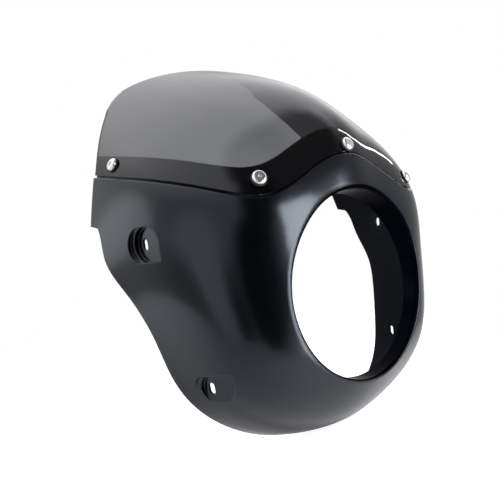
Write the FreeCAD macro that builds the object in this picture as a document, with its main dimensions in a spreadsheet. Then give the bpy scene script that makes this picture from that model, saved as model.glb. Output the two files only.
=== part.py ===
import FreeCAD, Part
import Sketcher
import math
import os
from FreeCAD import Placement, Rotation, Vector

doc = FreeCAD.newDocument("fairing")
sheet = doc.addObject("Spreadsheet::Sheet", "Dims")

# Driving dimensions in millimetres and degrees. They are laid out level, +Z up and -Y ahead, about the
# centre of the lamp opening's front. The finished pieces are moved to the centre of the collar's back edge.
dims = {
    # lamp opening, tilted back about the cross axis
    "rake": 13.3,
    "bore_radius": 86.0,
    "lip_round": 4.5,
    "lip_over": 0.05,
    "lip_inset": 2.0,
    "collar_wall": 3.0,
    "collar_back": 22.6,
    # moulded wall, screen and the stepped flange that carries the screen
    "body_wall": 3.2,
    "screen_thick": 3.0,
    "screen_gap": 1.2,
    "flange_height": 23.0,
    "joggle_width": 5.0,
    # shoulder line seen from ahead: heights, and steps outward from one to the next
    "hump_rise": 116.0,
    "slope_out": 63.0,
    "slope_rise": 92.6,
    "dip_step": 44.0,
    "dip_rise": 79.0,
    "flank_step": 31.0,
    "flank_rise": 85.5,
    "end_step": 30.0,
    "end_rise": 93.0,
    # rear edge of the body seen from the side
    "tail_back": 193.5,
    "tail_rise": 46.0,
    "tail_slope": 0.375,
    "notch_step": 15.0,
    "notch_drop": 0.6,
    "turn_back": 171.3,
    "turn_rise": 37.5,
    "edge_a_back": 161.3,
    "edge_a_rise": 19.0,
    "edge_b_back": 129.0,
    "edge_b_rise": -15.0,
    "edge_c_back": 111.0,
    "edge_c_rise": -46.0,
    "edge_d_back": 96.0,
    "edge_d_rise": -88.0,
    "edge_e_back": 66.0,
    "edge_e_rise": -143.0,
    # free edge of the screen seen from the side
    "rim_a_back": 218.0,
    "rim_a_rise": 110.0,
    "rim_b_back": 250.0,
    "rim_b_rise": 161.0,
    "rim_tip_back": 263.5,
    "rim_tip_rise": 192.0,
    "rim_c_back": 254.0,
    "rim_c_rise": 205.5,
    "rim_top_back": 214.0,
    "rim_top_rise": 216.0,
    # fixing pockets and their slots
    "slot_width": 6.4,
    "slot_length": 10.4,
    "upper_floor": 161.8,
    "upper_back": 111.6,
    "upper_rise": 36.2,
    "upper_reach": 15.2,
    "upper_tilt": 11.0,
    "upper_lean": 9.5,
    "upper_length": 18.0,
    "upper_bend": 15.2,
    "lower_floor": 129.0,
    "lower_back": 59.6,
    "lower_rise": -86.7,
    "lower_reach": 13.5,
    "lower_tilt": 15.0,
    "lower_lean": 17.0,
    "lower_length": 26.0,
    "lower_bend": 25.0,
    "pocket_shift": 4.6,
    "pocket_step": 5.5,
    "pocket_tread": 4.2,
    "pocket_wall": 2.0,
    # screen fixings
    "mid_out": 98.8,
    "mid_rise": 93.7,
    "centre_rise": 123.4,
    "rear_back": 177.4,
    "rear_rise": 105.0,
    "screw_radius": 2.5,
    "screw_clear": 0.25,
    "screw_length": 15.0,
    "head_radius": 6.3,
    "head_height": 3.2,
    "head_round": 2.4,
    "socket_radius": 1.75,
    "socket_depth": 1.9,
    "pad_radius": 7.2,
    "pad_thick": 1.0,
    "washer_radius": 5.5,
    "washer_thick": 1.0,
    "nut_radius": 4.62,
    "nut_height": 4.0,
    "nut_collar": 1.4,
    "spot_clear": 0.6,
    # fullness of the skin's profiles at the chin and at the brow
    "chin_front_pull": 0.60,
    "brow_front_pull": 0.31,
    "chin_rear_pull": 0.27,
    "brow_rear_pull": 0.60,
}

# Profiles of the outer skin, one in each half plane through the lamp axis. For each: where it starts
# behind the opening, how it leans there, the radius and depth of its end and how it falls there.
stationAngle = {
    "chin": -90.0, "jowl": -62.0, "jaw": -34.0, "flank": -8.0, "side": 14.0,
    "cheek": 34.0, "temple": 54.0, "crown": 72.0, "brow": 90.0,
}
dims.update({
    "chin_start": 2.2, "chin_lean": 33.5, "chin_reach": 160.7, "chin_fall": 54.0, "chin_depth": 130.0,
    "jowl_start": 3.1, "jowl_lean": 28.5, "jowl_reach": 165.7, "jowl_fall": 54.0, "jowl_depth": 130.0,
    "jaw_start": 3.9, "jaw_lean": 14.5, "jaw_reach": 172.7, "jaw_fall": 55.0, "jaw_depth": 135.0,
    "flank_start": 3.1, "flank_lean": 16.0, "flank_reach": 174.4, "flank_fall": 59.0, "flank_depth": 152.0,
    "side_start": 0.8, "side_lean": 14.0, "side_reach": 194.4, "side_fall": 72.0, "side_depth": 182.0,
    "cheek_start": -2.3, "cheek_lean": 4.0, "cheek_reach": 211.0, "cheek_fall": 86.0, "cheek_depth": 208.0,
    "temple_start": -4.8, "temple_lean": 6.0, "temple_reach": 253.2, "temple_fall": 73.0, "temple_depth": 222.0,
    "crown_start": -6.3, "crown_lean": 8.0, "crown_reach": 279.0, "crown_fall": 65.7, "crown_depth": 224.0,
    "brow_start": -8.3, "brow_lean": 4.0, "brow_reach": 276.9, "brow_fall": 67.0, "brow_depth": 202.0,
})

for line, (name, value) in enumerate(dims.items(), start=1):
    sheet.set("A%d" % line, name)
    sheet.set("B%d" % line, str(value))
    sheet.setAlias("B%d" % line, name)
doc.recompute()


def dim(name):
    return float(sheet.get(name))


# Skin

fanRadius = dim("bore_radius") - dim("lip_inset")
lampTilt = Rotation(Vector(1, 0, 0), -dim("rake"))
lampBack = lampTilt.multVec(Vector(0, 1, 0))


def lampPoint(radius, back, angle):
    turn = math.radians(angle)
    return lampTilt.multVec(Vector(radius * math.cos(turn), back, radius * math.sin(turn)))


def profilePoles(name):
    # four poles of one profile as radius and depth
    start = dim(name + "_start")
    reach = dim(name + "_reach")
    depth = dim(name + "_depth")
    lean = math.radians(dim(name + "_lean"))
    fall = math.radians(dim(name + "_fall"))
    rise = (1 + math.sin(math.radians(stationAngle[name]))) / 2
    chord = math.hypot(reach - fanRadius, depth - start)
    front = chord * (dim("chin_front_pull") * (1 - rise) + dim("brow_front_pull") * rise)
    rear = chord * (dim("chin_rear_pull") * (1 - rise) + dim("brow_rear_pull") * rise)
    return [
        (fanRadius, start),
        (fanRadius + front * math.cos(lean), start + front * math.sin(lean)),
        (reach - rear * math.cos(fall), depth - rear * math.sin(fall)),
        (reach, depth),
    ]


def ringCurve(points, angles):
    curve = Part.BSplineCurve()
    curve.interpolate(Points=points, PeriodicFlag=True, Parameters=angles + [angles[0] + 360.0])
    return curve


def ringSurface(rings, vMults, vKnots, vDegree):
    # surface with one closed ring of poles per row
    poles = [list(column) for column in zip(*[ring.getPoles() for ring in rings])]
    surface = Part.BSplineSurface()
    surface.buildFromPolesMultsKnots(
        poles, rings[0].getMultiplicities(), vMults, rings[0].getKnots(), vKnots, True, False, 3, vDegree)
    return surface


def between(first, second, share):
    return (first[0] + (second[0] - first[0]) * share, first[1] + (second[1] - first[1]) * share)


def behindRow(poles, row):
    # poles of the part of a profile that lies behind a row, by repeated division
    kept = [poles[-1]]
    while len(poles) > 1:
        poles = [between(first, second, row) for first, second in zip(poles[:-1], poles[1:])]
        kept.insert(0, poles[-1])
    return kept


def lipPoles(poles):
    # roll of the lip: from just inside the bore's wall over a corner on the profile's tangent to its start
    wall = dim("bore_radius") - dim("lip_over")
    slope = (poles[1][1] - poles[0][1]) / (poles[1][0] - poles[0][0])
    corner = (wall, poles[0][1] - slope * (poles[0][0] - wall))
    return [(wall - dim("lip_over"), corner[1] + dim("lip_round")), corner, poles[0]]


def fanRings(fan):
    # one closed ring through each pole of the profiles
    angles = [angle for angle, poles in fan]
    return [
        ringCurve([lampPoint(poles[k][0], poles[k][1], angle) for angle, poles in fan], angles)
        for k in range(len(fan[0][1]))]


half = [(stationAngle[name], profilePoles(name)) for name in stationAngle]
fan = half + [(180.0 - angle, poles) for angle, poles in reversed(half[1:-1])]
fanAngles = [angle for angle, poles in fan]
skin = ringSurface(fanRings(fan), [4, 4], [0.0, 1.0], 3)

# the row where the lip's roll begins, found on the side's profile
sidePoles = profilePoles("side")
lipRow = 0.0
while behindRow(sidePoles, lipRow)[0][0] < dim("bore_radius") + dim("lip_round"):
    lipRow += 0.0005
shownFan = [(angle, behindRow(poles, lipRow)) for angle, poles in fan]
shownRings = fanRings(shownFan)
lipRings = fanRings([(angle, lipPoles(poles)) for angle, poles in shownFan])

noseBack = -0.25 * dim("bore_radius")
noseRadius = 0.65 * dim("bore_radius")
endBack = 1.6 * dim("cheek_depth")
rowSteps = [0.0, 0.12, 0.28, 0.46, 0.64, 0.82, 1.0]
turnSteps = [-90.0 + 12.0 * k for k in range(30)]


def skinPoint(turn, row, depth):
    inward = skin.normal(turn, row)
    point = skin.value(turn, row)
    if inward.dot(point - lampBack * 150.0) > 0:
        inward = inward * -1
    return point + inward * depth


def skinRings(depth):
    # closed rings of the surface that lies a given depth under the skin
    rows = [ringCurve([skinPoint(turn, row, depth) for turn in turnSteps], turnSteps) for row in rowSteps]
    columns = []
    for poles in zip(*[row.getPoles() for row in rows]):
        column = Part.BSplineCurve()
        column.interpolate(Points=list(poles), Parameters=rowSteps)
        columns.append(column)
    surface = Part.BSplineSurface()
    surface.buildFromPolesMultsKnots(
        [column.getPoles() for column in columns], rows[0].getMultiplicities(), columns[0].getMultiplicities(),
        rows[0].getKnots(), columns[0].getKnots(), True, False, 3, 3)
    return rows, surface


def closedSolid(surfaces, first, last, angles):
    # everything under some ring surfaces, closed by a nose disc ahead and a flat end behind
    nose = ringCurve([lampPoint(noseRadius, noseBack, angle) for angle in angles], angles)
    rear = [last.value(angle) for angle in angles]
    end = ringCurve([point + lampBack * (endBack - point.dot(lampBack)) for point in rear], angles)
    faces = [surface.toShape() for surface in surfaces] + [
        ringSurface([first, nose], [2, 2], [0.0, 1.0], 1).toShape(),
        ringSurface([last, end], [2, 2], [0.0, 1.0], 1).toShape(),
        Part.Face(Part.Wire(nose.toShape())),
        Part.Face(Part.Wire(end.toShape())),
    ]
    shell = Part.makeShell(faces)
    shell.sewShape()
    solid = Part.makeSolid(shell)
    if solid.Volume < 0:
        solid.reverse()
    return solid


def skinSolid(depth):
    rings, surface = skinRings(depth)
    return closedSolid([surface], rings[0], rings[-1], turnSteps)


def shownSolid():
    # the outer skin with its rolled lip
    lip = ringSurface(lipRings, [3, 3], [0.0, 1.0], 2)
    shown = ringSurface(shownRings, [4, 4], [0.0, 1.0], 3)
    return closedSolid([shown, lip], lipRings[0], shownRings[-1], fanAngles)


# Outlines

farSide = 1.5 * dim("cheek_reach")
pastEnd = 0.4 * dim("end_rise")
dipOut = dim("slope_out") + dim("dip_step")
flankOut = dipOut + dim("flank_step")
endOut = flankOut + dim("end_step")


def smoothEdge(points):
    curve = Part.BSplineCurve()
    curve.interpolate(Points=points)
    return curve.toShape()


def shoulderEdge(lift):
    # shoulder line from left to right, level beyond its ends
    right = [
        Vector(dim("slope_out"), 0, dim("slope_rise")),
        Vector(dipOut, 0, dim("dip_rise")),
        Vector(flankOut, 0, dim("flank_rise")),
        Vector(endOut, 0, dim("end_rise")),
        Vector(endOut + pastEnd, 0, dim("end_rise") + 0.05 * pastEnd),
    ]
    left = [Vector(-point.x, 0, point.z) for point in reversed(right)]
    points = left + [Vector(0, 0, dim("hump_rise"))] + right
    return smoothEdge([point + Vector(0, -farSide / 2, lift) for point in points])


def fenced(lower, upper):
    # block between two edges drawn from left to right, run from front to back
    closing = [
        Part.makeLine(lower.Vertexes[0].Point, upper.Vertexes[0].Point),
        Part.makeLine(lower.Vertexes[-1].Point, upper.Vertexes[-1].Point),
    ]
    wire = Part.Wire(Part.__sortEdges__([lower, upper] + closing))
    return Part.Face(wire).extrude(Vector(0, 2 * farSide, 0))


def levelEdge(rise):
    span = endOut + pastEnd
    return Part.makeLine(Vector(-span, -farSide / 2, rise), Vector(span, -farSide / 2, rise))


def sideBlock(edges):
    # block across the full width from an outline in the side view
    wire = Part.Wire(Part.__sortEdges__(edges))
    face = Part.Face(wire)
    face.translate(Vector(-farSide, 0, 0))
    return face.extrude(Vector(2 * farSide, 0, 0))


def sidePoint(back, rise):
    return Vector(0, back, rise)


def chain(points):
    return [Part.makeLine(a, b) for a, b in zip(points[:-1], points[1:])]


belowShoulder = fenced(levelEdge(-farSide), shoulderEdge(0.0))
belowStep = fenced(levelEdge(-farSide), shoulderEdge(-dim("joggle_width")))
flangeBand = fenced(shoulderEdge(-dim("joggle_width")), shoulderEdge(dim("flange_height")))
aboveGap = fenced(shoulderEdge(dim("screen_gap")), levelEdge(farSide))

# body seen from the side: tail corner, notch under it and the lower edge sweeping ahead to the chin
tail = sidePoint(dim("tail_back"), dim("tail_rise"))
tailTop = sidePoint(dim("tail_back") + farSide / 2 * dim("tail_slope"), dim("tail_rise") + farSide / 2)
notch = sidePoint(dim("tail_back") - dim("notch_step"), dim("tail_rise") - dim("notch_drop"))
chinEnd = sidePoint(
    2 * dim("edge_e_back") - dim("edge_d_back"), 2 * dim("edge_e_rise") - dim("edge_d_rise"))
lowerEdge = smoothEdge([
    notch,
    sidePoint(dim("turn_back"), dim("turn_rise")),
    sidePoint(dim("edge_a_back"), dim("edge_a_rise")),
    sidePoint(dim("edge_b_back"), dim("edge_b_rise")),
    sidePoint(dim("edge_c_back"), dim("edge_c_rise")),
    sidePoint(dim("edge_d_back"), dim("edge_d_rise")),
    sidePoint(dim("edge_e_back"), dim("edge_e_rise")),
    chinEnd,
])
bodySide = sideBlock([lowerEdge] + chain([
    chinEnd, sidePoint(-farSide, chinEnd.z), sidePoint(-farSide, tailTop.z), tailTop, tail, notch]))

# screen seen from the side: rear edge, round tip and top edge
rimFoot = dim("end_rise") - dim("flange_height")
rimStart = sidePoint(dim("tail_back") + dim("tail_slope") * (rimFoot - dim("tail_rise")), rimFoot)
rimEnd = sidePoint(0.72 * dim("rim_top_back"), 1.028 * dim("rim_top_rise"))
rimEdge = smoothEdge([
    rimStart,
    sidePoint(dim("rim_a_back"), dim("rim_a_rise")),
    sidePoint(dim("rim_b_back"), dim("rim_b_rise")),
    sidePoint(dim("rim_tip_back"), dim("rim_tip_rise")),
    sidePoint(dim("rim_c_back"), dim("rim_c_rise")),
    sidePoint(dim("rim_top_back"), dim("rim_top_rise")),
    rimEnd,
])
screenSide = sideBlock([rimEdge] + chain([
    rimEnd, sidePoint(-farSide, rimEnd.z), sidePoint(-farSide, rimStart.z), rimStart]))

# Skin solids at each depth

outerSolid = shownSolid()
seatSolid = skinSolid(dim("screen_thick"))
coreSolid = skinSolid(dim("body_wall") / 2)
wallSolid = skinSolid(dim("body_wall"))
flangeSolid = skinSolid(dim("screen_thick") + dim("body_wall"))


def lampCylinder(radius, fromBack, toBack):
    return Part.makeCylinder(radius, toBack - fromBack, lampBack * fromBack, lampBack)


# Screen fixings: a point on the skin and the outward direction there

skinFace = skin.toShape()


def skinFrame(start, end):
    # where a straight probe meets the skin, as a placement with its Z pointing out of the skin
    probe = Part.makeLine(start, end)
    gap, pairs, notes = skinFace.distToShape(probe)
    point = pairs[0][0]
    turn, row = skin.parameter(point)
    out = skinPoint(turn, row, -1.0) - skinPoint(turn, row, 0.0)
    return Placement(point, Rotation(Vector(0, 0, 1), out))


def mirrored(frame):
    # the same fixing on the other side
    out = frame.Rotation.multVec(Vector(0, 0, 1))
    base = frame.Base
    return Placement(Vector(-base.x, base.y, base.z), Rotation(Vector(0, 0, 1), Vector(-out.x, out.y, out.z)))


def probedFrom(out, rise):
    # a fixing seen from ahead
    return skinFrame(Vector(out, -farSide / 4, rise), Vector(out, dim("cheek_depth"), rise))


centreFix = probedFrom(0, dim("centre_rise"))
midFix = probedFrom(dim("mid_out"), dim("mid_rise"))
rearFix = skinFrame(
    Vector(dim("mid_out"), dim("rear_back"), dim("rear_rise")),
    Vector(farSide, dim("rear_back"), dim("rear_rise")))
fixings = [centreFix, midFix, mirrored(midFix), rearFix, mirrored(rearFix)]
seatDepth = dim("screen_thick") + dim("body_wall")
holeRadius = dim("screw_radius") + dim("screw_clear")


def placed(shape, frame):
    copy = shape.copy()
    copy.Placement = frame.multiply(copy.Placement)
    return copy


def onFixings(shape):
    return Part.makeCompound([placed(shape, frame) for frame in fixings])


holes = onFixings(Part.makeCylinder(holeRadius, 4 * seatDepth, Vector(0, 0, -2 * seatDepth)))
spots = onFixings(Part.makeCylinder(
    dim("washer_radius") + dim("spot_clear"), seatDepth, Vector(0, 0, -2 * seatDepth)))

# Body

bore = lampCylinder(dim("bore_radius"), 2 * noseBack, endBack)
collarPlug = lampCylinder(dim("bore_radius") + dim("collar_wall"), 2 * noseBack, dim("collar_back"))
front = outerSolid.common(belowShoulder).common(bodySide).cut(bore)
flange = seatSolid.common(flangeBand).common(bodySide)
cavity = wallSolid.common(belowStep).fuse(flangeSolid).cut(collarPlug)
body = front.fuse(flange).cut(cavity)


def pocketOutline(name, wall, shift, flatSide):
    # about the slot: round behind, and ahead of it a bend from the far edge up to a square corner on the flat edge
    reach = dim(name + "_reach") + wall
    length = dim(name + "_length") + wall
    bend = min(dim(name + "_bend") + wall, 1.9 * reach, 0.98 * length)
    flat = flatSide * reach
    start = Vector(0, shift, flat)
    under = Vector(0, shift, -flat)
    turn = Vector(0, shift - length + bend, -flat)
    front = Vector(0, shift - length, flatSide * bend - flat)
    knee = Vector(0, turn.y - bend * math.sqrt(0.5), front.z - flatSide * bend * math.sqrt(0.5))
    corner = Vector(0, shift - length, flat)
    edges = [Part.Arc(start, Vector(0, shift + reach, 0), under).toShape()]
    edges += chain([under, turn])
    edges.append(Part.Arc(turn, knee, front).toShape())
    edges += chain([front, corner, start])
    return Part.Face(Part.Wire(edges))


def slotOutline():
    # round-ended slot through the pocket's floor
    radius = dim("slot_width") / 2
    run = dim("slot_length") / 2 - radius
    front = [Vector(0, -radius, -run), Vector(0, -radius, run)]
    back = [Vector(0, radius, run), Vector(0, radius, -run)]
    edges = [
        Part.makeLine(front[0], front[1]),
        Part.Arc(front[1], Vector(0, 0, run + radius), back[0]).toShape(),
        Part.makeLine(back[0], back[1]),
        Part.Arc(back[1], Vector(0, 0, -run - radius), front[0]).toShape(),
    ]
    return Part.Face(Part.Wire(edges))


def upright(face, start, end):
    # a prism on the pocket's own axis, the floor at zero
    copy = face.copy()
    copy.translate(Vector(start, 0, 0))
    return copy.extrude(Vector(end - start, 0, 0))


def addPocket(solid, name, flatSide):
    # a cup with a slotted floor and one tread behind it, lined inside by a wall of even thickness
    ahead = -dim("pocket_shift")
    behind = ahead + dim("pocket_step")
    wall = dim("pocket_wall")
    tread = dim("pocket_tread")
    outside = 4 * dim(name + "_reach")
    cup = upright(pocketOutline(name, wall, ahead, flatSide), -wall, outside)
    cup = cup.fuse(upright(pocketOutline(name, wall, behind, flatSide), tread - wall, outside))
    hollow = upright(pocketOutline(name, 0.0, ahead, flatSide), 0.0, outside)
    hollow = hollow.fuse(upright(pocketOutline(name, 0.0, behind, flatSide), tread, outside))
    hollow = hollow.fuse(upright(slotOutline(), -3 * wall, outside))
    turn = Rotation(Vector(0, 0, 1), -dim(name + "_lean")) * Rotation(Vector(1, 0, 0), -dim(name + "_tilt"))
    place = Placement(Vector(dim(name + "_floor"), dim(name + "_back"), dim(name + "_rise")), turn)
    cup.Placement = place
    hollow.Placement = place
    cup = cup.common(coreSolid).common(bodySide)
    for mirror in (False, True):
        lining = cup.mirror(Vector(0, 0, 0), Vector(1, 0, 0)) if mirror else cup
        removed = hollow.mirror(Vector(0, 0, 0), Vector(1, 0, 0)) if mirror else hollow
        solid = solid.fuse(lining).cut(removed)
    return solid


body = addPocket(body, "upper", -1)
body = addPocket(body, "lower", 1)
body = body.cut(holes).cut(spots)

# Screen

screen = outerSolid.common(aboveGap).common(screenSide).cut(seatSolid).cut(holes)


def oneSolid(shape, label):
    # the only solid of a shape, without leftover seams
    solids = sorted(shape.Solids, key=lambda solid: solid.Volume)
    if len(solids) > 1 and solids[-2].Volume > 1.0:
        raise ValueError("%s is in %d pieces" % (label, len(solids)))
    return solids[-1]


def addPiece(label, shape):
    # a finished piece, moved so that the frame's origin is the centre of the collar's back edge
    piece = doc.addObject("Part::Feature", label)
    piece.Label = label
    piece.Shape = shape
    piece.Placement = Placement(lampBack * -dim("collar_back"), Rotation())
    piece.setExpression("Placement.Base.y", "-Dims.collar_back * cos(Dims.rake * 1 deg)")
    piece.setExpression("Placement.Base.z", "Dims.collar_back * sin(Dims.rake * 1 deg)")
    return piece


pieces = [
    addPiece("fairing_body", oneSolid(body, "body")),
    addPiece("windscreen", oneSolid(screen, "screen")),
]

# Screw: button head and shank turned about Z, seat at zero, with a six-sided socket

screw = doc.addObject("PartDesign::Body", "screw")
xzPlane = [plane for plane in screw.Origin.OriginFeatures if plane.Role == "XZ_Plane"][0]
turned = screw.newObject("Sketcher::SketchObject", "screw_outline")
turned.AttachmentSupport = [(xzPlane, "")]
turned.MapMode = "FlatFace"
shank = dim("screw_radius")
tip = -dim("screw_length")
head = dim("head_radius")
top = dim("head_height")
corners = [(0, tip), (shank, tip), (shank, 0), (head, 0), (head, top), (0, top)]
for index, (x, y) in enumerate(corners):
    nextX, nextY = corners[(index + 1) % 6]
    turned.addGeometry(Part.LineSegment(Vector(x, y, 0), Vector(nextX, nextY, 0)), False)
for index in range(6):
    turned.addConstraint(Sketcher.Constraint("Coincident", index, 2, (index + 1) % 6, 1))
for index in (0, 2, 4):
    turned.addConstraint(Sketcher.Constraint("Horizontal", index))
for index in (1, 3, 5):
    turned.addConstraint(Sketcher.Constraint("Vertical", index))
turned.addConstraint(Sketcher.Constraint("PointOnObject", 0, 1, -2))
turned.addConstraint(Sketcher.Constraint("PointOnObject", 2, 1, -1))
for name, index, kind, value, expression in (
        ("shankRadius", 0, "DistanceX", shank, "Dims.screw_radius"),
        ("headRadius", 4, "DistanceX", -head, "-Dims.head_radius"),
        ("shankLength", 1, "DistanceY", -tip, "Dims.screw_length"),
        ("headHeight", 3, "DistanceY", top, "Dims.head_height")):
    place = turned.addConstraint(Sketcher.Constraint(kind, index, 1, index, 2, value))
    turned.renameConstraint(place, name)
    turned.setExpression("Constraints." + name, expression)
turning = screw.newObject("PartDesign::Revolution", "screw_turning")
turning.Profile = turned
turning.ReferenceAxis = (turned, ["V_Axis"])
turning.Angle = 360
doc.recompute()
crown = [
    "Edge%d" % (k + 1) for k, edge in enumerate(turning.Shape.Edges)
    if edge.BoundBox.ZMin > dim("head_height") - 0.01 and edge.BoundBox.XMax > dim("head_radius") - 0.01]
dome = screw.newObject("PartDesign::Fillet", "head_dome")
dome.Base = (turning, crown)
dome.setExpression("Radius", "Dims.head_round")
doc.recompute()
xyPlane = [plane for plane in screw.Origin.OriginFeatures if plane.Role == "XY_Plane"][0]
hexagon = screw.newObject("Sketcher::SketchObject", "socket_outline")
hexagon.AttachmentSupport = [(xyPlane, "")]
hexagon.MapMode = "FlatFace"
hexagon.setExpression("AttachmentOffset.Base.z", "Dims.head_height")
for index in range(6):
    first = Vector(dim("socket_radius"), 0, 0)
    ends = [Rotation(Vector(0, 0, 1), 60.0 * (index + step)).multVec(first) for step in (0, 1)]
    hexagon.addGeometry(Part.LineSegment(ends[0], ends[1]), False)
guide = hexagon.addGeometry(Part.Circle(Vector(0, 0, 0), Vector(0, 0, 1), dim("socket_radius")), True)
hexagon.addConstraint(Sketcher.Constraint("Coincident", guide, 3, -1, 1))
for index in range(6):
    hexagon.addConstraint(Sketcher.Constraint("Coincident", index, 2, (index + 1) % 6, 1))
    hexagon.addConstraint(Sketcher.Constraint("PointOnObject", index, 1, guide))
for index in range(5):
    hexagon.addConstraint(Sketcher.Constraint("Equal", index, index + 1))
hexagon.addConstraint(Sketcher.Constraint("PointOnObject", 0, 1, -1))
place = hexagon.addConstraint(Sketcher.Constraint("Radius", guide, dim("socket_radius")))
hexagon.renameConstraint(place, "socketRadius")
hexagon.setExpression("Constraints.socketRadius", "Dims.socket_radius")
socket = screw.newObject("PartDesign::Pocket", "socket")
socket.Profile = hexagon
socket.setExpression("Length", "Dims.socket_depth")
screw.Tip = socket


# Washer and nut for the back of the flange, their seat at zero and growing along +Z

def bound(kind, name, **sizes):
    item = doc.addObject(kind, name)
    for prop, expression in sizes.items():
        item.setExpression(prop, expression)
    return item


washerDisc = bound("Part::Cylinder", "washer_disc", Radius="Dims.washer_radius", Height="Dims.washer_thick")
washerHole = bound(
    "Part::Cylinder", "washer_hole", Radius="Dims.screw_radius + Dims.screw_clear",
    Height="Dims.washer_thick")
washer = doc.addObject("Part::Cut", "washer")
washer.Base = washerDisc
washer.Tool = washerHole
nutHex = bound("Part::Prism", "nut_hex", Circumradius="Dims.nut_radius", Height="Dims.nut_height")
nutHex.Polygon = 6
nutTop = bound(
    "Part::Cylinder", "nut_top", Radius="Dims.nut_radius * 0.82",
    Height="Dims.nut_height + Dims.nut_collar")
nutHole = bound(
    "Part::Cylinder", "nut_hole", Radius="Dims.screw_radius", Height="Dims.nut_height + Dims.nut_collar")
nutBlank = doc.addObject("Part::Fuse", "nut_blank")
nutBlank.Base = nutHex
nutBlank.Tool = nutTop
nut = doc.addObject("Part::Cut", "nut")
nut.Base = nutBlank
nut.Tool = nutHole
doc.recompute()

# Fixings put in place: head on its soft washer, washer and nut behind the flange

headLift = Placement(Vector(0, 0, dim("pad_thick")), Rotation())
washerBack = Placement(Vector(0, 0, -seatDepth), Rotation(Vector(1, 0, 0), 180))
nutBack = Placement(Vector(0, 0, -seatDepth - dim("washer_thick")), Rotation(Vector(1, 0, 0), 180))
padRing = Part.makeCylinder(
    dim("pad_radius"), dim("pad_thick") + dim("screen_thick"), Vector(0, 0, -dim("screen_thick")))
padRing = padRing.cut(Part.makeCylinder(holeRadius, 4 * seatDepth, Vector(0, 0, -2 * seatDepth)))
pads = Part.makeCompound([placed(padRing, frame).cut(outerSolid).Solids[0] for frame in fixings])
pieces += [
    addPiece("screen_screws", onFixings(placed(screw.Shape, headLift))),
    addPiece("screen_pads", pads),
    addPiece("backing_washers", onFixings(placed(washer.Shape, washerBack))),
    addPiece("lock_nuts", onFixings(placed(nut.Shape, nutBack))),
]
doc.recompute()

# Every object and shape is sound before anything is written

for item in doc.Objects:
    if "Invalid" in item.State or "Error" in item.State:
        raise ValueError("%s failed: %s" % (item.Label, item.State))
for piece in pieces:
    if piece.Shape.isNull() or not piece.Shape.isValid():
        raise ValueError("%s has no sound shape" % piece.Label)

os.makedirs("parts", exist_ok=True)
for piece in pieces:
    piece.Shape.exportStep("parts/%s.step" % piece.Label)
    box = piece.Shape.BoundBox
    print("%s: %d solid(s), %.0f x %.0f x %.0f mm" % (
        piece.Label, len(piece.Shape.Solids), box.XLength, box.YLength, box.ZLength))
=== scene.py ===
import math

import bmesh
import bpy
import numpy as np
from mathutils import Matrix, Vector


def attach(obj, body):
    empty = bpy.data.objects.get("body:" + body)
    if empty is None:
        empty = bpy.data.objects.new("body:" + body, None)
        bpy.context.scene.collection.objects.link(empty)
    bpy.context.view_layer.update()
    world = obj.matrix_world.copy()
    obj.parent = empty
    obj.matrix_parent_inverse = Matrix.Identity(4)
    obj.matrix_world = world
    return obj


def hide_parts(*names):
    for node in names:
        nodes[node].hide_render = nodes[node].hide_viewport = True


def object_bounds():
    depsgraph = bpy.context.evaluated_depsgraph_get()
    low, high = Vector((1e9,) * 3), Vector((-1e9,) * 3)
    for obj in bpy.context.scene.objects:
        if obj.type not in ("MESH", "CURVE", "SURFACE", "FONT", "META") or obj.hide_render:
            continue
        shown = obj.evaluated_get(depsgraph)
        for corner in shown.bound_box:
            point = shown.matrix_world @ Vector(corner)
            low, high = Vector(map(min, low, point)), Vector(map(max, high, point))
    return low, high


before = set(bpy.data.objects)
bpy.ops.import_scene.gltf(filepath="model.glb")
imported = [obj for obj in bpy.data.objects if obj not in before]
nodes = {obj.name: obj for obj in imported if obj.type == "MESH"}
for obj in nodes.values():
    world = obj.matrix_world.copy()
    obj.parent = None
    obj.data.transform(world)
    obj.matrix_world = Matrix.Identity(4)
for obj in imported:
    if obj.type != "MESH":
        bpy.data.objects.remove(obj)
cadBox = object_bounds()
mmPerMetre = 1000.0  # the scene is in metres, and sizes whose names end in Mm are in millimetres
plainWhite = (1.0, 1.0, 1.0, 1.0)
print("frame loaded:", sorted(nodes))

# Helpers for objects and nodes


def addObject(name, data):
    made = bpy.data.objects.new(name, data)
    bpy.context.scene.collection.objects.link(made)
    return made


def standing(place, right, up, back):
    # matrix of an object at a place, with its own axes along the three given ways
    return Matrix.Translation(Vector(place)) @ Matrix((right, up, back)).transposed().to_4x4()


def setSockets(node, values):
    for label, value in values.items():
        node.inputs[label].default_value = value


def addStep(tree, kind, operation, values):
    # a maths node whose inputs are links or plain values
    step = tree.nodes.new(kind)
    step.operation = operation
    for socket, value in zip(step.inputs, values):
        if isinstance(value, bpy.types.NodeSocket):
            tree.links.new(value, socket)
        else:
            socket.default_value = value
    return step


def addMath(tree, operation, *values):
    return addStep(tree, "ShaderNodeMath", operation, values).outputs["Value"]


def addVector(tree, operation, *values):
    step = addStep(tree, "ShaderNodeVectorMath", operation, values)
    return step.outputs["Value" if operation in ("DOT_PRODUCT", "LENGTH") else "Vector"]


def addRamp(tree, value, start, end):
    # a smooth mask, 0 at the start and 1 at the end
    step = tree.nodes.new("ShaderNodeMapRange")
    step.interpolation_type = "SMOOTHSTEP"
    setSockets(step, {"From Min": start, "From Max": end})
    tree.links.new(value, step.inputs["Value"])
    return step.outputs["Result"]


def addRange(tree, mask, low, high):
    # a mask from 0 to 1 turned into a value from low to high
    step = tree.nodes.new("ShaderNodeMapRange")
    setSockets(step, {"To Min": low, "To Max": high})
    tree.links.new(mask, step.inputs["Value"])
    return step.outputs["Result"]


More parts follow.
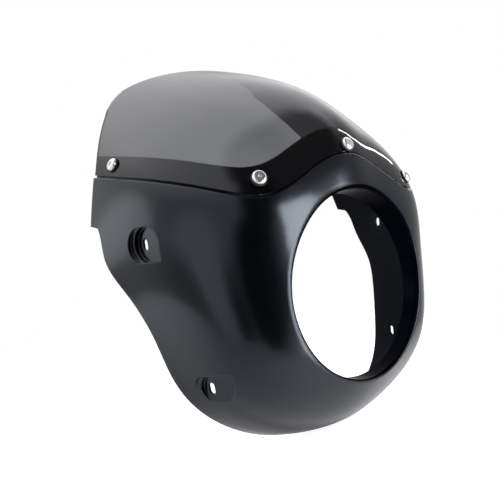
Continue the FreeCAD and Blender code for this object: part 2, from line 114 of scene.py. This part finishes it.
def addMix(tree, mask, first, second):
    # the first shader where the mask is 0, the second where it is 1
    mix = tree.nodes.new("ShaderNodeMixShader")
    tree.links.new(mask, mix.inputs["Fac"])
    tree.links.new(first, mix.inputs[1])
    tree.links.new(second, mix.inputs[2])
    return mix.outputs["Shader"]


def newGroup(name, inputs, outputs):
    group = bpy.data.node_groups.new(name, "ShaderNodeTree")
    for way, sockets in (("INPUT", inputs), ("OUTPUT", outputs)):
        for label, kind in sockets.items():
            group.interface.new_socket(label, in_out=way, socket_type=kind)
    return group, group.nodes.new("NodeGroupInput"), group.nodes.new("NodeGroupOutput")


def newMaterial(name):
    material = bpy.data.materials.new(name)
    material.use_nodes = True
    tree = material.node_tree
    tree.nodes.clear()
    out = tree.nodes.new("ShaderNodeOutputMaterial")
    shader = tree.nodes.new("ShaderNodeBsdfPrincipled")
    tree.links.new(shader.outputs["BSDF"], out.inputs["Surface"])
    return material, tree, shader


# Moulded grain, shared by the body and the fixings

grainLook = {
    "grainDetail": 2.0,
    "driftDetail": 3.0,
    "depthMm": 0.2,
}


def makeMouldedGrain(look):
    # fine pebbles and slow waves of a moulded skin, as a height and a mask that drifts over the surface
    group, given, result = newGroup(
        "mouldedGrain",
        {"Vector": "NodeSocketVector", "Grain mm": "NodeSocketFloat", "Drift mm": "NodeSocketFloat"},
        {"Height": "NodeSocketFloat", "Drift": "NodeSocketFloat"})
    waves = (("Grain mm", look["grainDetail"], "Height"), ("Drift mm", look["driftDetail"], "Drift"))
    for size, detail, target in waves:
        noise = group.nodes.new("ShaderNodeTexNoise")
        noise.inputs["Detail"].default_value = detail
        scale = addMath(group, "DIVIDE", mmPerMetre, given.outputs[size])
        group.links.new(given.outputs["Vector"], noise.inputs["Vector"])
        group.links.new(scale, noise.inputs["Scale"])
        group.links.new(noise.outputs["Fac"], result.inputs[target])
    return group


mouldedGrain = makeMouldedGrain(grainLook)


def addGrain(tree, shader, look, eased=None):
    # grain goes to the normal, over eased edges if given, and drift to the roughness between two values
    place = tree.nodes.new("ShaderNodeTexCoord")
    grain = tree.nodes.new("ShaderNodeGroup")
    grain.node_tree = mouldedGrain
    setSockets(grain, {"Grain mm": look["grainMm"], "Drift mm": look["driftMm"]})
    tree.links.new(place.outputs["Object"], grain.inputs["Vector"])
    relief = tree.nodes.new("ShaderNodeBump")
    setSockets(relief, {"Strength": look["bump"], "Distance": grainLook["depthMm"] / mmPerMetre})
    tree.links.new(grain.outputs["Height"], relief.inputs["Height"])
    if eased:
        tree.links.new(eased, relief.inputs["Normal"])
    tree.links.new(relief.outputs["Normal"], shader.inputs["Normal"])
    rough = addRange(tree, grain.outputs["Drift"], look["roughLow"], look["roughHigh"])
    tree.links.new(rough, shader.inputs["Roughness"])


# Body

# the lamp opening's axis runs through the frame's origin, ahead and a little up
# each pair is where a mask begins and where it is full: distances in metres, facing as a cosine
lampOpening = {
    "axis": (0.0, -0.9732, 0.2300),
    "rimOuter": (0.098, 0.091),
    "rimFront": (0.006, 0.014),
    "facing": (-0.05, -0.30),
    "shellShare": 0.85,  # of the inside mask on the shell, where the collar has 1
}

bodyLook = {
    "colour": (0.0011, 0.0015, 0.0024, 1.0),
    "ior": 1.5,
    "sheen": (0.77, 0.86, 1.0, 1.0),
    "gloss": 0.56,
    "roughLow": 0.15,
    "roughHigh": 0.20,
    # painted shade inside: a dark tinted, nearly unreflecting coat, full on the collar
    "shadeCoatIor": 1.05,
    "shadeCoatTint": (0.04, 0.065, 0.12, 1.0),
    "shadeCoatRough": 0.2,
    "grainMm": 0.5,
    "driftMm": 45.0,
    "bump": 0.015,
    # rounding of edges, and of the lamp opening's rim
    "edgeMm": 2.0,
    "rimMm": 6.0,
    "edgeSamples": 8,
}


def makeLampMasks(look):
    # one mask for faces that look towards the opening's axis, full on the collar, where shade is painted,
    # and one for its front rim
    group, given, result = newGroup(
        "lampMasks", {"Vector": "NodeSocketVector", "Normal": "NodeSocketVector"},
        {"Inside": "NodeSocketFloat", "Rim": "NodeSocketFloat"})
    place = given.outputs["Vector"]
    radial = addVector(group, "SUBTRACT", place, addVector(group, "PROJECT", place, look["axis"]))
    outward = addVector(group, "NORMALIZE", radial)
    facing = addVector(group, "DOT_PRODUCT", given.outputs["Normal"], outward)
    near = addRamp(group, addVector(group, "LENGTH", radial), *look["rimOuter"])
    ahead = addRamp(group, addVector(group, "DOT_PRODUCT", place, look["axis"]), *look["rimFront"])
    share = addRange(group, near, look["shellShare"], 1.0)
    inside = addMath(group, "MULTIPLY", addRamp(group, facing, *look["facing"]), share)
    group.links.new(inside, result.inputs["Inside"])
    group.links.new(addMath(group, "MULTIPLY", near, ahead), result.inputs["Rim"])
    return group


def makeSatinBlack(look, lampMasks):
    material, tree, shader = newMaterial("satinBlack")
    setSockets(shader, {
        "Base Color": look["colour"],
        "IOR": look["ior"],
        "Specular Tint": look["sheen"],
        "Specular IOR Level": look["gloss"],
        "Coat IOR": look["shadeCoatIor"],
        "Coat Tint": look["shadeCoatTint"],
        "Coat Roughness": look["shadeCoatRough"],
    })
    place = tree.nodes.new("ShaderNodeTexCoord")
    masks = tree.nodes.new("ShaderNodeGroup")
    masks.node_tree = lampMasks
    tree.links.new(place.outputs["Object"], masks.inputs["Vector"])
    tree.links.new(place.outputs["Normal"], masks.inputs["Normal"])
    # painted shade: inside, a dark tinted coat swallows the gloss of the moulding
    tree.links.new(masks.outputs["Inside"], shader.inputs["Coat Weight"])
    edge = tree.nodes.new("ShaderNodeBevel")
    edge.samples = look["edgeSamples"]
    radius = addRange(tree, masks.outputs["Rim"], look["edgeMm"] / mmPerMetre, look["rimMm"] / mmPerMetre)
    tree.links.new(radius, edge.inputs["Radius"])
    addGrain(tree, shader, look, edge.outputs["Normal"])
    return material


satinBlack = makeSatinBlack(bodyLook, makeLampMasks(lampOpening))
print("body finish ready")

# Screen

screenLook = {
    "ior": 1.49,
    "roughness": 0.015,
    "smoke": (0.0, 0.01, 0.03, 1.0),
    "sheen": (0.91, 0.93, 1.0, 1.0),
    "density": 600.0,
    "mergeMm": 0.001,
    "insetMm": 0.12,
    "trimMm": 1.4,
    # how the sheet's cut edges are told from its two skins
    "cutDeg": 60.0,
    "cutJoins": 0.1,
    "sharpDeg": 40.0,
}


def findCutFaces(sheet, look):
    # a cut edge is a run of faces between two sharp lines, joined to the skins by few other edges
    sharp = {edge for edge in sheet.edges if edge.calc_face_angle(0.0) > math.radians(look["cutDeg"])}
    onSharp = {point for edge in sharp for point in edge.verts}
    slim = {face for face in sheet.faces if all(point in onSharp for point in face.verts)}
    cut = set()
    while slim:
        pending, run, joins = [slim.pop()], set(), 0
        while pending:
            face = pending.pop()
            run.add(face)
            for edge in face.edges:
                for other in edge.link_faces if edge not in sharp else ():
                    if other in slim:
                        slim.discard(other)
                        pending.append(other)
                    elif other != face and other not in run and other not in pending:
                        joins += 1
        if joins < look["cutJoins"] * len(run):
            cut |= run
    return cut


def drawBack(sheet, cut, distance):
    # points on the cut edges move in along the skin, against the part of the cut's normal that lies in it
    pull, skin = {}, {}
    for face in sheet.faces:
        normals = pull if face in cut else skin
        for point in face.verts:
            normals[point] = normals.get(point, Vector()) + face.normal * face.calc_area()
    for point, way in pull.items():
        if point in skin:
            out = skin[point].normalized()
            way = way - out * way.dot(out)
            point.co -= way.normalized() * distance


def makeBubble(look):
    # the sheet's loose triangles joined into one skin, with its cut edges drawn back by the trim
    # and then every point moved in along its normal by the inset
    mesh = nodes["windscreen"].data.copy()
    mesh.name = "smokedBubble"
    exact = np.empty(len(mesh.loops) * 3)
    mesh.corner_normals.foreach_get("vector", exact)
    sheet = bmesh.new()
    sheet.from_mesh(mesh)
    bmesh.ops.remove_doubles(sheet, verts=sheet.verts, dist=look["mergeMm"] / mmPerMetre)
    cut = findCutFaces(sheet, look)
    drawBack(sheet, cut, look["trimMm"] / mmPerMetre)
    print("screen:", len(sheet.faces), "faces,", len(cut), "of them on cut edges")
    sheet.to_mesh(mesh)
    sheet.free()
    points = np.empty(len(mesh.vertices) * 3)
    normals = np.empty_like(points)
    mesh.vertices.foreach_get("co", points)
    mesh.vertex_normals.foreach_get("vector", normals)
    mesh.vertices.foreach_set("co", points - normals * look["insetMm"] / mmPerMetre)
    mesh.shade_smooth()
    mesh.update()
    # the CAD's own normals go back on, unless joining has dropped a sliver and they no longer fit
    if len(mesh.loops) * 3 == len(exact):
        mesh.normals_split_custom_set(exact.reshape(-1, 3).tolist())
    else:
        mesh.set_sharp_from_angle(angle=math.radians(look["sharpDeg"]))
    piece = addObject("smokedBubble", mesh)
    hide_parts("windscreen")
    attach(piece, "root")
    return piece


def makeSmokedScreen(look):
    # clear glass filled with smoke, through which the lamps shine unhindered
    material, tree, shader = newMaterial("smokedScreen")
    setSockets(shader, {
        "Base Color": plainWhite,
        "Transmission Weight": 1.0,
        "IOR": look["ior"],
        "Roughness": look["roughness"],
        "Specular Tint": look["sheen"],
    })
    out = tree.nodes["Material Output"]
    path = tree.nodes.new("ShaderNodeLightPath")
    clear = tree.nodes.new("ShaderNodeBsdfTransparent")
    surface = addMix(tree, path.outputs["Is Shadow Ray"], shader.outputs["BSDF"], clear.outputs["BSDF"])
    tree.links.new(surface, out.inputs["Surface"])
    smoke = tree.nodes.new("ShaderNodeVolumeAbsorption")
    setSockets(smoke, {"Color": look["smoke"], "Density": look["density"]})
    tree.links.new(smoke.outputs["Volume"], out.inputs["Volume"])
    return material


smokedScreen = makeSmokedScreen(screenLook)
bubble = makeBubble(screenLook)

# Fixings

fixingLooks = {
    "polishedHead": {"colour": (0.93, 0.93, 0.94, 1.0), "metallic": 1.0, "roughLow": 0.24, "roughHigh": 0.34,
                     "grainMm": 0.4, "driftMm": 6.0, "bump": 0.02},
    "zincPlate": {"colour": (0.55, 0.56, 0.57, 1.0), "metallic": 1.0, "roughLow": 0.28, "roughHigh": 0.42,
                  "grainMm": 0.3, "driftMm": 6.0, "bump": 0.08},
    "softWasher": {"colour": (0.012, 0.012, 0.012, 1.0), "metallic": 0.0, "roughLow": 0.6, "roughHigh": 0.75,
                   "grainMm": 0.3, "driftMm": 6.0, "bump": 0.15},
}


def makeFixing(name, look):
    material, tree, shader = newMaterial(name)
    setSockets(shader, {"Base Color": look["colour"], "Metallic": look["metallic"]})
    addGrain(tree, shader, look)
    return material


fixings = {name: makeFixing(name, look) for name, look in fixingLooks.items()}

finishes = {
    nodes["fairing_body"]: satinBlack,
    bubble: smokedScreen,
    nodes["screen_screws"]: fixings["polishedHead"],
    nodes["screen_pads"]: fixings["softWasher"],
    nodes["backing_washers"]: fixings["zincPlate"],
    nodes["lock_nuts"]: fixings["zincPlate"],
}
for piece, material in finishes.items():
    piece.data.materials.clear()
    piece.data.materials.append(material)
print("finished pieces:", len(finishes))

# Studio

studio = {
    "floorSize": 0.9,
    "floorColour": (0.55, 0.55, 0.55, 1.0),
    "floorRough": 0.9,
    "floorWhite": 0.80,
    "floorGlow": 0.10,
    "roomLight": 0.66,
    # soft patches of the room: azimuth from ahead towards +X, elevation,
    # full within and gone beyond (all in degrees), and the level
    "patches": [
        (-165.0, 76.0, 42.0, 62.0, 1.25),
        (-82.0, 0.0, 12.0, 30.0, 1.05),
        (-135.0, 4.0, 7.0, 18.0, 1.75),
        (-104.0, -22.0, 6.0, 21.0, 0.38),
        (115.0, 38.0, 14.0, 32.0, 1.60),
        (76.0, 14.0, 22.0, 45.0, 0.38),
        (20.0, 64.0, 22.0, 38.0, 0.10),
        (-8.0, 36.0, 12.0, 28.0, 0.02),
        (-20.0, 4.0, 15.0, 31.0, 0.0),
        (-49.0, -11.0, 2.0, 15.0, 0.05),
    ],
}

# place in metres, the way it faces, the way its width runs, width and height, power in watts
softboxes = {
    "frontBox": {"place": (0.409, -0.988, 0.132), "facing": (-0.379, 0.915, -0.122),
                 "across": (0.924, 0.383, 0.0), "size": (0.53, 1.14), "power": 15.5},
    "sideStrip": {"place": (0.77, 0.06, 0.565), "facing": (-0.77, -0.06, -0.565),
                  "across": (0.348, -0.856, -0.383), "size": (0.02, 0.55), "power": 0.4},
}

# place and aim on the floor in metres, cone in degrees, softness in metres, power in watts
floorPools = {
    "rearPool": {"place": (-0.52, 0.42, 0.50), "aim": (-0.38, 0.235),
                 "cone": 29.0, "soft": 0.12, "power": 34.0},
    "frontPool": {"place": (0.26, -0.44, 0.60), "aim": (0.03, -0.13),
                  "cone": 48.0, "soft": 0.12, "power": 38.0},
}


def rayMasks(tree):
    # one mask for camera and transmitted rays, one for glossy rays
    path = tree.nodes.new("ShaderNodeLightPath")
    seen = addMath(tree, "MAXIMUM", path.outputs["Is Camera Ray"], path.outputs["Is Transmission Ray"])
    return seen, path.outputs["Is Glossy Ray"]


def towards(azimuth, elevation):
    turn, rise = math.radians(azimuth), math.radians(elevation)
    return (math.sin(turn) * math.cos(rise), -math.cos(turn) * math.cos(rise), math.sin(rise))


def makeWorld(look):
    # an even room with a few soft darker and lighter patches; the camera and the glass see plain white
    world = bpy.data.worlds.new("studioWorld")
    world.use_nodes = True
    tree = world.node_tree
    tree.nodes.clear()
    place = tree.nodes.new("ShaderNodeTexCoord")
    level = None
    for azimuth, elevation, within, beyond, value in look["patches"]:
        cosine = addVector(tree, "DOT_PRODUCT", place.outputs["Generated"], towards(azimuth, elevation))
        soft = addRamp(tree, cosine, math.cos(math.radians(beyond)), math.cos(math.radians(within)))
        mix = tree.nodes.new("ShaderNodeMix")
        setSockets(mix, {"A": look["roomLight"], "B": value})
        tree.links.new(soft, mix.inputs["Factor"])
        if level:
            tree.links.new(level, mix.inputs["A"])
        level = mix.outputs["Result"]
    lit = tree.nodes.new("ShaderNodeBackground")
    plain = tree.nodes.new("ShaderNodeBackground")
    for shade in (lit, plain):
        setSockets(shade, {"Color": plainWhite, "Strength": 1.0})
    tree.links.new(level, lit.inputs["Strength"])
    surface = addMix(tree, rayMasks(tree)[0], lit.outputs["Background"], plain.outputs["Background"])
    out = tree.nodes.new("ShaderNodeOutputWorld")
    tree.links.new(surface, out.inputs["Surface"])
    bpy.context.scene.world = world


def makeFloor(look, height):
    half = look["floorSize"] / 2
    corners = [(-half, -half, height), (half, -half, height), (half, half, height), (-half, half, height)]
    mesh = bpy.data.meshes.new("floor")
    mesh.from_pydata(corners, [], [(0, 1, 2, 3)])
    floor = addObject("floor", mesh)
    material, tree, shader = newMaterial("paleFloor")
    setSockets(shader, {"Base Color": look["floorColour"], "Roughness": look["floorRough"],
                        "Emission Color": plainWhite})
    seen, glossy = rayMasks(tree)
    lift = addMath(tree, "MULTIPLY", glossy, look["floorGlow"])
    lift = addMath(tree, "MULTIPLY_ADD", seen, look["floorWhite"], lift)
    tree.links.new(lift, shader.inputs["Emission Strength"])
    mesh.materials.append(material)


def makeSoftbox(name, look):
    lamp = bpy.data.lights.new(name, "AREA")
    lamp.shape = "RECTANGLE"
    lamp.size, lamp.size_y = look["size"]
    lamp.energy = look["power"]
    back = -Vector(look["facing"]).normalized()
    across = Vector(look["across"]).normalized()
    holder = addObject(name, lamp)
    holder.matrix_world = standing(look["place"], across, back.cross(across), back)
    holder.visible_transmission = False


def makePool(name, look, height):
    lamp = bpy.data.lights.new(name, "SPOT")
    lamp.energy = look["power"]
    lamp.spot_size = math.radians(look["cone"])
    lamp.spot_blend = 1.0
    lamp.shadow_soft_size = look["soft"]
    holder = addObject(name, lamp)
    holder.location = look["place"]
    aim = Vector((*look["aim"], height)) - Vector(look["place"])
    holder.rotation_euler = aim.to_track_quat("-Z", "Y").to_euler()
    holder.visible_glossy = False
    holder.visible_transmission = False


floorHeight = cadBox[0][2]
makeWorld(studio)
makeFloor(studio, floorHeight)
for name, look in softboxes.items():
    makeSoftbox(name, look)
for name, look in floorPools.items():
    makePool(name, look, floorHeight)
print("studio ready")

# Camera

cameraFit = {
    "place": (-0.3503, -0.2968, 0.1048),
    "right": (0.7860, -0.6183, 0.0),
    "up": (0.0985, 0.1253, 0.9872),
    "lensMm": 35.2,
    "sensorMm": 36.0,
    "clipStart": 0.01,
}


def makeCamera(fit):
    data = bpy.data.cameras.new("photoCamera")
    data.lens = fit["lensMm"]
    data.sensor_width = fit["sensorMm"]
    data.sensor_fit = "HORIZONTAL"
    data.clip_start = fit["clipStart"]
    right = Vector(fit["right"]).normalized()
    up = Vector(fit["up"]).normalized()
    camera = addObject("photoCamera", data)
    camera.matrix_world = standing(fit["place"], right, up, right.cross(up))
    bpy.context.scene.camera = camera


makeCamera(cameraFit)
bpy.context.scene.view_settings.view_transform = "Standard"

print("scene ready")
